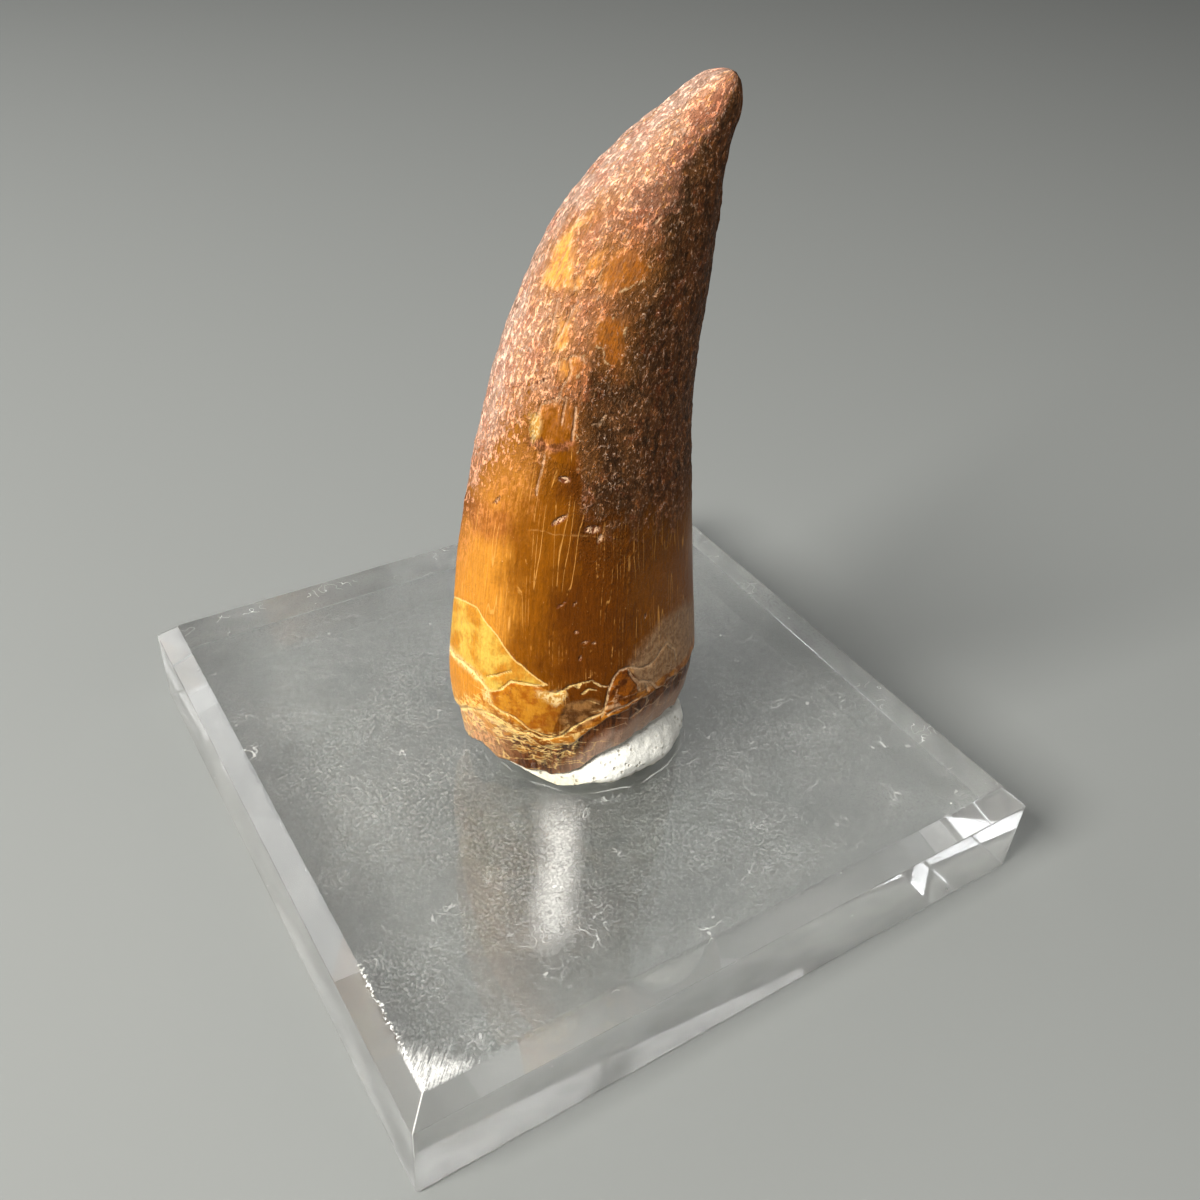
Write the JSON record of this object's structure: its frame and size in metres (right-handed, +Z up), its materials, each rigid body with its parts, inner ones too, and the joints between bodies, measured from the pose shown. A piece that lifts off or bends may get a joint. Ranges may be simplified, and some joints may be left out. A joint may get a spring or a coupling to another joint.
{
  "type": "fossil dinosaur tooth on a stand",
  "caption": "Tall curved fossil tooth of a meat-eating dinosaur with a broken root, set upright in putty on a clear square acrylic block with bevelled top edges",
  "frame": {"origin": "middle of the block's underside, on the surface it stands on", "axes": "+Z up; X and Y square to the block's sides; the tooth's face looks towards -X and -Y, its straight rear edge towards +X"},
  "size_m": [0.0762, 0.0762, 0.0838],
  "materials": {
    "tooth_enamel": "amber and red-brown fossil enamel, glossy low down and matte above",
    "white_putty": "dry, grainy white putty",
    "clear_acrylic": "polished clear acrylic, lightly scratched"
  },
  "bodies": {
    "root": {"tooth": "tooth_enamel", "mounting_putty": "white_putty", "acrylic_block": "clear_acrylic"}
  },
  "joints": []
}
